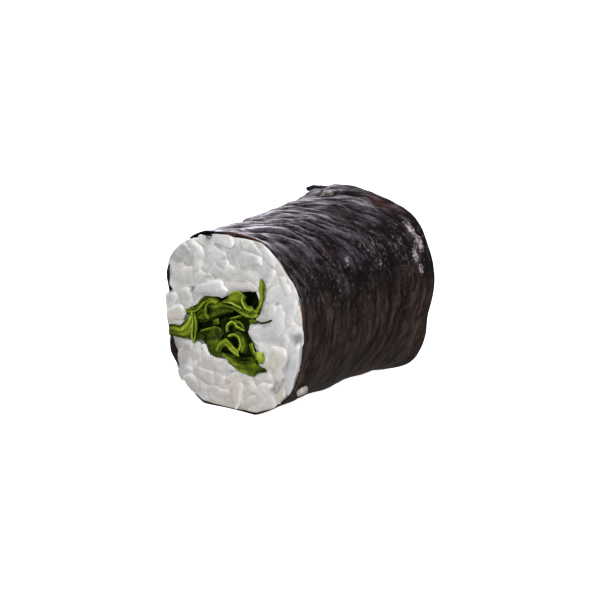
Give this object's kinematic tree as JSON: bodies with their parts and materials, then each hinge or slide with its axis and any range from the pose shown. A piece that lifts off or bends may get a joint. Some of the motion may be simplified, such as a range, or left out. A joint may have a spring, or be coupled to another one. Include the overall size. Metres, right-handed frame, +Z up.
{
  "type": "arugula hosomaki",
  "caption": "Cut piece of a thin sushi roll lying on its side: a nori sheet wound round rice, with a bundle of folded arugula leaves through the middle, shown at both cuts.",
  "frame": {"origin": "on the table under the middle of the roll, at the centre of the bounding box's underside", "axes": "+Z up, Y along the roll's axis with the front cut facing -Y, X across the roll"},
  "size_m": [0.029, 0.0336, 0.0293],
  "materials": {
    "nori": "damp dried seaweed, purple-black, satin with fine wavy wrinkles",
    "rice": "cooked short-grain rice, translucent grey-white, moist",
    "arugula": "fresh leaf, dark green faces with bright yellow-green cut edges"
  },
  "bodies": {
    "root": {"nori": "nori", "rice": "rice", "arugula": "arugula"}
  },
  "joints": []
}
